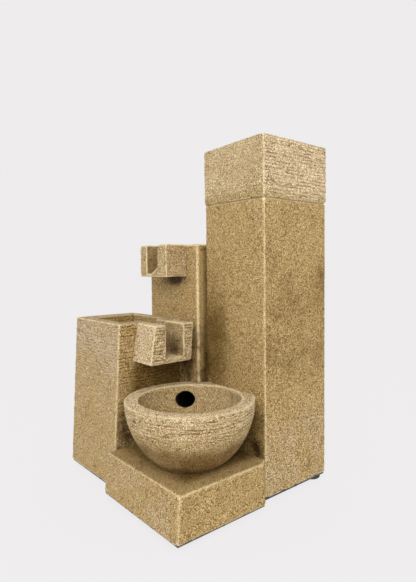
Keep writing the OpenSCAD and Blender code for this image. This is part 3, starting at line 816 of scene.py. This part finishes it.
def column_cap():
    low, high = box_mm("column_cap")
    shaft = box_mm("tall_column")[1]
    under = shaft[2] + 3
    lip = under - 2.2
    neck = 0.5
    spigot, spigot_wall = WALL + 0.3, 6
    tilt, tilt_from = 1.9, 296

    def tint(points, normals):
        return 0.04 + 0.2 * facing(normals, LEFT) + 0.25 * fall(points[:, 2], under, under + 9)

    def rough(points, normals):
        hidden = np.maximum(facing(normals, RIGHT), facing(normals, BACK))
        return 0.3 * facing(normals, FRONT) + 0.13 * facing(normals, LEFT) + 0.2 * hidden

    def crack(points, normals):
        x, _, z = points.T
        level = under + 13 + 1.6 * np.sin(x / 4.5) - 0.12 * x
        run = rise(x, 2, 8) * fall(x, 30, 46) * facing(normals, FRONT)
        return 0.55 * run * fall(np.abs(z - level), 0.3, 1.5)

    obj = merge(
        pillar("stone_column_cap", (low[0], low[1], lip), high, 1.4),
        pillar("neck", (neck, neck, shaft[2] - 0.6), (shaft[0] - neck, shaft[1] - neck, under + 2), 1),
        pillar("spigot", (spigot, spigot, low[2]), (shaft[0] - spigot, shaft[1] - spigot, under), 1),
    )
    skin(obj, 0.8, 3)
    points, _ = read_skin(obj)
    points[:, 2] -= tilt * rise(points[:, 2], tilt_from, high[2]) * rise(points[:, 1], 6, high[1] + 10)
    write_skin(obj, points)
    weather_and_shade(obj, 23, tint, rough, crack, chips=0.9, wave=0.7)
    inner = spigot + spigot_wall
    hollow_top = high[2] - WALL
    cut(obj, block("hollow", (inner, inner, low[2] - PAST), (shaft[0] - inner, shaft[1] - inner, hollow_top)))
    return obj


def base_block():
    low, high = box_mm("base_block")
    tall = box_mm("tall_column")[1]
    mid = box_mm("middle_column")[0]
    corner = -7
    lean_x, lean_y = 4.1, 1.7
    lap = 1

    def outline(x, y):
        ring = [(x, y), (corner, y), (0, 0), (0, tall[1]), (mid[0], tall[1]), (mid[0], high[1]), (x, high[1])]
        return rounded(ring, (2.5, 1.5, 1, 0.5, 0.5, 0.5, 0.5))

    def tint(points, normals):
        # The top darkens inwards, under the bowl: painted shade and dirt.
        inward = rise(points[:, 0], -98, -70) * rise(points[:, 1], 0, 18)
        top = 0.12 + 0.42 * inward
        return 0.36 + facing(normals, TOP) * top + 0.18 * facing(normals, FRONT)

    def wet(points, normals):
        # The patch on the top under the bowl's rim is water stain and painted shade.
        return 0.35 * facing(normals, TOP) * spot(points, (-88, 66, 38), (26, 40, 9))

    foot = outline(low[0], low[1])
    top = outline(low[0] + lean_x, low[1] + lean_y)
    obj = loft("stone_base_block", [(x, y, low[2]) for x, y in foot], [(x, y, high[2]) for x, y in top])
    skin(obj, 1.0, 4)
    weather_and_shade(obj, 37, tint, wet=wet, edges=0.65)
    left, roof, step = low[0] + WALL, high[2] - WALL, tall[1] - WALL
    cut(
        obj,
        block("hollow", (left, low[1] + WALL, -PAST), (-lap - WALL, step, roof)),
        block("hollow_behind", (left, step - lap, -PAST), (mid[0] - WALL, high[1] - WALL, roof)),
    )
    return obj


def middle_column():
    low, high = box_mm("middle_column")
    outlet, outlet_z, outlet_r = middle_mm("outlet_elbow"), high[2] - 18.5, 6
    cable, cable_r = middle_mm("wall_grommet"), 4.5
    frame_low, frame_high = box_mm("door_frame")
    frame_edge = 4
    back = high[1] - WALL

    def tint(points, normals):
        x, _, z = points.T
        # The front face darkens next to the tall column: painted shade.
        return 0.45 + 0.45 * facing(normals, FRONT) * rise(x, -8, 1) + 0.1 * fall(z, 110, 190)

    def wet(points, normals):
        x, y, z = points.T
        near = rise(x, -17, -8) * fall(x, 0, 2) * fall(y, 84, 102)
        joint = 0.55 * near * rise(z, 84, 96) * fall(z, 128, 176)
        # Painted shadow of the upper spout on the column.
        spout_shadow = 1.1 * spot(points, (low[0], 120, 201), (9, 34, 13))
        over_bowl = 0.8 * spot(points, (low[0], 103, 108), (8, 26, 40))
        left = facing(normals, LEFT)
        return joint * (1 - left) + left * np.maximum(joint, spout_shadow + over_bowl)

    obj = pillar("stone_middle_column", low, high, 1.6)
    skin(obj, 1.25, 4)
    weather_and_shade(obj, 41, tint, wet=wet)
    cut(
        obj,
        block("hollow", (low[0] + WALL, low[1] + WALL, -PAST), high - WALL),
        block("doorway", (frame_low[0] + frame_edge, back - PAST, frame_low[2] + frame_edge),
              (frame_high[0] - frame_edge, high[1] + PAST, frame_high[2] - frame_edge)),
        rod("outlet", (low[0] - PAST, outlet[1], outlet_z),
            (low[0] + WALL + PAST, outlet[1], outlet_z), outlet_r),
        rod("cable", (cable[0], high[1] + PAST, cable[2]), (cable[0], back - PAST, cable[2]), cable_r),
        drain_rod(),
    )
    return obj


def basin_column():
    low, high = box_mm("basin_column")
    lean, deep = 9.6, 40
    left_in, right_in = low[0] + lean + 12, high[0] - 11.1
    front_in, back_in = low[1] + 16, high[1] - 19
    bed = high[2] - LOWER_SPOUT_H + LOWER_SPOUT_BED
    lap = 2
    obj = pillar("stone_basin_column", low, high, (1.8, 0.6, 1.8, 1.8), lean)
    cut(
        obj,
        block("basin", (left_in, front_in, high[2] - deep), (right_in, back_in, high[2] + PAST)),
        block("channel", (LOWER_SPOUT_X - CHANNEL_HALF, low[1] - PAST, bed),
              (LOWER_SPOUT_X + CHANNEL_HALF, front_in + lap, high[2] + PAST)),
    )
    skin(obj, 1.1, 4)

    def tint(points, normals):
        x, y, z = points.T
        # inside darkens the basin's hollow: painted shade.
        inside = rise(x, left_in - 3, left_in + 1) * fall(x, right_in - 0.2, right_in + 1)
        inside = inside * rise(y, front_in - 4, front_in + 1) * fall(y, back_in + 0.2, back_in + 1.5)
        inside = inside * (1 - facing(normals, TOP) * rise(z, high[2] - 4, high[2] - 2))
        # The front face is darker below the lower spout: painted shade.
        front = 0.2 + 0.6 * fall(z, 110, 132) * rise(x, -86, -58)
        left = 0.16 * fall(z, 80, 140)
        return 0.2 + facing(normals, FRONT) * front + facing(normals, LEFT) * left + 0.22 * inside

    def rough(points, normals):
        z = points[:, 2]
        front = 0.34 * facing(normals, FRONT) * rise(z, 82, 104)
        return front + 0.2 * facing(normals, LEFT) * rise(z, 75, 125)

    def wet(points, normals):
        # Water stain and painted shadow left of the bowl.
        return 0.8 * facing(normals, FRONT) * spot(points, (-78, low[1], 54), (24, 12, 50))

    weather_and_shade(obj, 53, tint, rough, wet)
    left, right, roof = low[0] + WALL, high[0] - WALL, high[2] - deep - WALL
    hollow = [(left, -PAST), (right, -PAST), (right, roof), (left + lean, roof)]
    cut(obj, prism("hollow", hollow, "y", low[1] + WALL, high[1] - WALL))
    return obj


def upper_spout():
    low, high = box_mm("upper_spout")
    bed = low[2] + 3.5
    side_rise, side_run = 6.5, 2
    near, far = UPPER_SPOUT_Y - CHANNEL_HALF, UPPER_SPOUT_Y + CHANNEL_HALF
    outline = [
        (low[1], low[2]), (high[1], low[2]), (high[1], high[2]),
        (far, high[2]), (far, bed), (UPPER_SPOUT_Y + side_run, bed), (near, bed + side_rise), (near, high[2]),
        (low[1], high[2]),
    ]
    outline = rounded(outline, (0.8, 2.4, 2.4, 0.8, 0.3, 0.3, 0.3, 1.2, 1.2))
    obj = prism("stone_upper_spout", outline, "x", low[0], high[0])
    skin(obj, 0.75, 2)

    def tint(points, normals):
        _, y, z = points.T
        # The channel's walls get painted shade and its bed painted light.
        inner = fall(np.abs(y - UPPER_SPOUT_Y), CHANNEL_HALF, CHANNEL_HALF + 0.6) * rise(z, bed - 1, bed)
        return 0.34 + 0.36 * inner * np.abs(normals[:, 1]) - 0.25 * inner * facing(normals, TOP)

    def rough(points, normals):
        front = facing(normals, FRONT) * (points[:, 1] < low[1] + 4)
        return 0.12 * facing(normals, LEFT) + 0.18 * front

    def wet(points, normals):
        corner = 0.3 * spot(points, (high[0], low[1], bed + 6), (11, 5, 9))
        return corner + 0.9 * spot(points, (high[0] + 2, UPPER_SPOUT_Y + 4, bed + 12), (20, 14, 14))

    weather_and_shade(obj, 67, tint, rough, wet, chips=0.5)
    return obj


def lower_spout():
    low, high = box_mm("lower_spout")
    bed = low[2] + LOWER_SPOUT_BED
    foot_left, foot_right = -71.2, -22.6
    top_left, top_right = -65.4, -19.5
    left, right = LOWER_SPOUT_X - CHANNEL_HALF, LOWER_SPOUT_X + CHANNEL_HALF
    outline = [
        (foot_left, low[2]), (foot_right, low[2]), (top_right, high[2]),
        (right, high[2]), (right, bed), (left, bed), (left, high[2]),
        (top_left, high[2]),
    ]
    outline = rounded(outline, (1.2, 1.2, 1.2, 2, 0.3, 0.3, 2.2, 1.4))
    obj = prism("stone_lower_spout", outline, "y", low[1], high[1])
    skin(obj, 0.75, 4)

    def tint(points, normals):
        x, _, z = points.T
        # The channel's walls get painted shade.
        inner = fall(np.abs(x - LOWER_SPOUT_X), CHANNEL_HALF, CHANNEL_HALF + 0.6) * rise(z, bed - 1, bed)
        return 0.22 * facing(normals, FRONT) + 0.4 * inner * np.abs(normals[:, 0])

    def rough(points, normals):
        return 0.4 * facing(normals, FRONT) + 0.14 * facing(normals, LEFT)

    def wet(points, normals):
        return 0.85 * spot(points, (right + 3, low[1] + 14, bed + 7), (14, 26, 22))

    weather_and_shade(obj, 71, tint, rough, wet, chips=0.5)
    return obj


def bowl():
    low, high = box_mm("bowl")
    mid = box_mm("middle_column")[0]
    centre = np.array((-50.5, 45.5))
    rim_r, inner_r, foot_r = 59.5, 46.8, 31
    height, inset = high[2] - low[2], rim_r - foot_r
    curve_r = (height**2 + inset**2) / (2 * inset)
    steps = 40
    profile = [(0, low[2])]
    for i in range(steps + 1):
        z = low[2] + height * i / steps
        profile.append((rim_r - curve_r + math.sqrt(curve_r**2 - (high[2] - z) ** 2), z))
    for i in range(steps + 1):
        t = math.pi / 2 * i / steps
        profile.append((inner_r * math.cos(t), high[2] - inner_r * math.sin(t)))
    obj = turned("stone_bowl", centre, profile)
    beyond = (80, 160, 140)
    cut(obj, block("tall_side", (0, -40, 0), beyond), block("middle_side", (mid[0], mid[1], 0), beyond))
    skin(obj, 0.8, 3)

    def outside(points, normals):
        out = points[:, :2] - centre
        return rise((out * normals[:, :2]).sum(axis=1) / np.linalg.norm(out, axis=1).clip(1), 0.1, 0.4)

    def tint(points, normals):
        out = outside(points, normals)
        depth = high[2] - points[:, 2]
        inside = (1 - out) * rise(depth, 0.5, 4) * (0.2 + 0.16 * rise(depth, 10, 40))
        foot = out * (0.12 + 0.6 * rise(depth, 14, 38))
        rim = 0.14 * (1 - out) * fall(depth, 1, 3)
        glint = 1.6 * spot(points, (-76, 32, low[2] + 0.7), (6, 7, 2.2))
        return 0.14 + foot - rim - glint + inside

    def rough(points, normals):
        return 0.35 * outside(points, normals) * rise(points[:, 2], 62, 78)

    weather_and_shade(obj, 83, tint, rough, chips=0.5, wave=0.3, edges=0.85)
    cut(obj, drain_rod())
    paint_drain_shade(obj)
    return obj


# ---------------------------------------------------------------- screws and the CAD's own pieces


def places(node, axis):
    """The low and high corner of each screw of a CAD node. Points further apart than reach across
    the screws' axis are of two screws."""
    reach = 6
    groups = []
    cad = frame["nodes"][node]
    for vertex in cad.data.vertices:
        point = (np.array(cad.matrix_world @ vertex.co) - PLAN) / MM
        near = [g for g in groups if np.linalg.norm(np.delete(point - g[0], axis)) < reach]
        if near:
            near[0].append(point)
        else:
            groups.append([point])
    return [(np.min(g, axis=0), np.max(g, axis=0)) for g in groups]


def screw(length, head_r, head_h, shank_r):
    """A pan head screw with a cross recess, upside down on the plan frame's origin."""
    core_r = shank_r - 0.3
    pitch, tip = 0.9, 1.6
    dome = [(head_r * math.sin(t), head_h * (1 - math.cos(t)) * 0.8) for t in np.linspace(0, math.pi / 2, 9)]
    thread = []
    for i in range(int((length - head_h - 2) / pitch)):
        at = head_h + pitch * i
        thread += [(core_r, at + 0.1), (shank_r, at + 0.35), (shank_r, at + 0.5), (core_r, at + 0.8)]
    profile = dome + [(head_r, head_h)] + thread + [(core_r, length - tip), (0, length)]
    obj = turned("screw", (0, 0), profile, 40)
    arm, half, deep = head_r * 0.56, 0.34, head_h * 0.62
    cut(
        obj,
        block("slot", (-arm, -half, -1), (arm, half, deep)),
        block("slot", (-half, -arm, -1), (half, arm, deep)),
    )
    return obj


def screws(node, side, head_h, shank_r):
    """A screw at each place of a CAD node's screws, with its head on that side."""
    axis, sign = side
    found = places(node, axis)
    size = found[0][1] - found[0][0]
    model = screw(size[axis], np.delete(size, axis).max() / 2, head_h, shank_r)
    inward = Vector([-sign if i == axis else 0 for i in range(3)])
    turn = Vector((0, 0, 1)).rotation_difference(inward).to_matrix().to_4x4()
    from_origin = Matrix.Translation(-to_world((0, 0, 0)))
    made = []
    for k, (low, high) in enumerate(found):
        place = (low + high) / 2
        place[axis] = high[axis] if sign > 0 else low[axis]
        spin = Matrix.Rotation(0.7 * k + 0.3, 4, "Z")
        mesh = model.data.copy()
        mesh.transform(Matrix.Translation(to_world(place)) @ turn @ spin @ from_origin)
        made.append(bpy.data.objects.new("steel_" + node, mesh))
        bpy.context.scene.collection.objects.link(made[-1])
    bpy.data.objects.remove(model)
    return merge(*made)


def break_edges(obj, width):
    """Rounds the sharp edges of a moulded or turned piece."""
    step = obj.modifiers.new("flat", "DECIMATE")
    step.decimate_type = "DISSOLVE"
    step.angle_limit = math.radians(1)
    step = obj.modifiers.new("edges", "BEVEL")
    step.width = width * MM
    step.segments = 3
    step.limit_method = "ANGLE"
    step.angle_limit = math.radians(50)
    step.harden_normals = True


# ---------------------------------------------------------------- the scene

STONES = {
    "tall_column": (tall_column, "shaft_stone"),
    "column_cap": (column_cap, "pale_stone"),
    "base_block": (base_block, "shaft_stone"),
    "middle_column": (middle_column, "shaft_stone"),
    "basin_column": (basin_column, "shaft_stone"),
    "upper_spout": (upper_spout, "pale_stone"),
    "lower_spout": (lower_spout, "pale_stone"),
    "bowl": (bowl, "pale_stone"),
}

# The side that the heads are on, the head's height and the shank's radius.
SCREWS = {
    "frame_screws": (BACK, 1.2, 1.3),
    "plate_screws": (UNDER, 1.3, 1.4),
}

# Pieces that wear another material than the one of their slot.
# The drain sleeve is painted near black as painted shade in the drain.
PAINT = {"drain_sleeve": "fouled_plastic"}

# The width in millimetres of the rounded edges of pieces of each material.
EDGES = {
    "black_plastic": 0.35,
    "dark_plastic": 0.35,
    "rubber": 0.6,
    "magnet_ceramic": 0.2,
    "core_steel": 0.15,
    "foam": 0.4,
}

make_camera()
make_studio()
materials = all_materials()
for node, (build, slot) in STONES.items():
    finish_piece(build(), node, materials[slot])
for node, settings in SCREWS.items():
    finish_piece(screws(node, *settings), node, materials["screw_steel"])

slots = {s["node"]: s["material_slot"] for s in frame["record"]["subparts"]}
for node, obj in frame["nodes"].items():
    if node in STONES or node in SCREWS:
        continue
    obj.data.materials.clear()
    obj.data.materials.append(materials[PAINT.get(node, slots[node])])
    if slots[node] in EDGES:
        break_edges(obj, EDGES[slots[node]])
